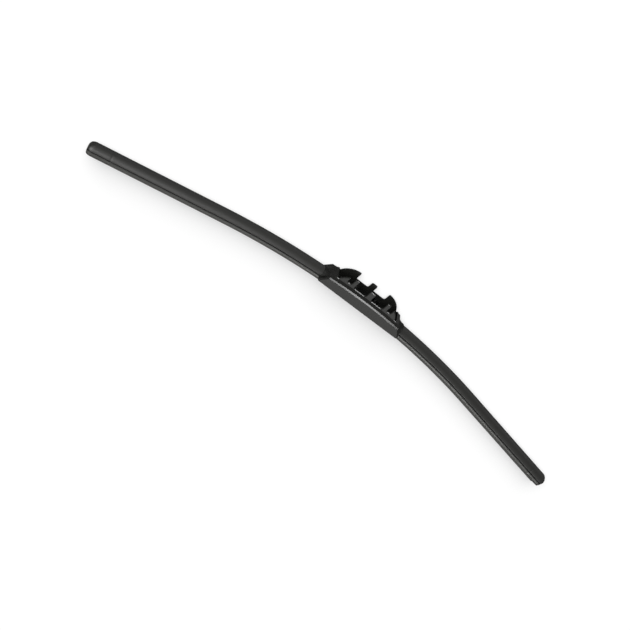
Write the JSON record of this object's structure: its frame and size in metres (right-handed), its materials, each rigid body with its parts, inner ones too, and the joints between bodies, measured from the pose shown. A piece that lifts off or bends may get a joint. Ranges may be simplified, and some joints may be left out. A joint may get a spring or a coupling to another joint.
{
  "type": "wiper blade",
  "caption": "Bowed flat wiper blade with half-round spoilers, a rubber lip, round-ended caps and an open toothed saddle at its middle that takes an arm adapter.",
  "frame": {"origin": "middle of the connector's channel floor, where an arm adapter seats", "axes": "+X along the blade, +Y across it towards the unslotted wall, +Z away from the glass"},
  "size_m": [0.5924, 0.024, 0.0742],
  "materials": {
    "connector_plastic": "fine moulded grain, black",
    "spoiler_rubber": "satin extruded, black",
    "cap_plastic": "fine moulded grain, black",
    "spring_steel": "rolled strip",
    "lip_rubber": "matt, black",
    "rivet_steel": "dull plated"
  },
  "bodies": {
    "root": {"connector_body": "connector_plastic", "spoiler_left": "spoiler_rubber", "spoiler_right": "spoiler_rubber", "end_cap_left": "cap_plastic", "end_cap_right": "cap_plastic", "spring_beam": "spring_steel", "wiper_rubber": "lip_rubber", "rivet_left": "rivet_steel", "rivet_right": "rivet_steel"}
  },
  "joints": []
}
